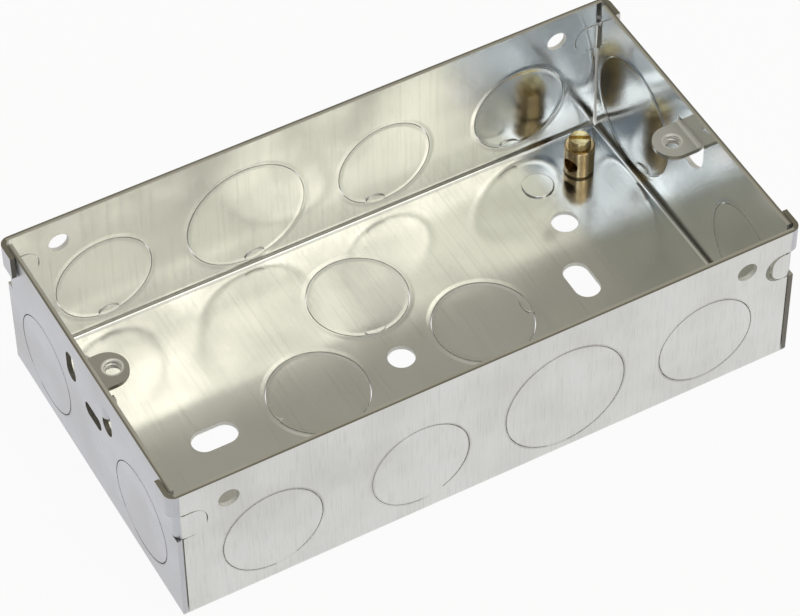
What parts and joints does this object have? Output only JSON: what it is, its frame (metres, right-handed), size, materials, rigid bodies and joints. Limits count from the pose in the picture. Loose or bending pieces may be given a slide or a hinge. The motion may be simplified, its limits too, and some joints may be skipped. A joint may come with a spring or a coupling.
{
  "type": "metal back box",
  "caption": "Shallow folded-sheet electrical back box, open at the front, with knockouts, fixing slots, accessory lugs and a brass earth terminal.",
  "frame": {"origin": "middle of the back face, where the box rests on a surface", "axes": "+Z out of the open front, +X along the long side towards the fixed lug, +Y along the short side"},
  "size_m": [0.1332, 0.0714, 0.0354],
  "materials": {
    "galvanised_sheet": "galvanised, semi-gloss, with fine rolling marks",
    "brass": "turned, semi-gloss"
  },
  "bodies": {
    "box": {"box_shell": "galvanised_sheet", "earth_terminal": "brass"},
    "lug": {"adjustable_lug": "galvanised_sheet"},
    "screw": {"terminal_screw": "brass"}
  },
  "joints": [
    {"name": "lug_slide", "type": "slide", "parent": "box", "child": "lug", "axis": [0, 0, 1], "range_m": [-0.0009, 0.0012]},
    {"name": "screw_travel", "type": "slide", "parent": "box", "child": "screw", "axis": [0, 0, 1], "range_m": [-0.0023, 0.001]}
  ]
}
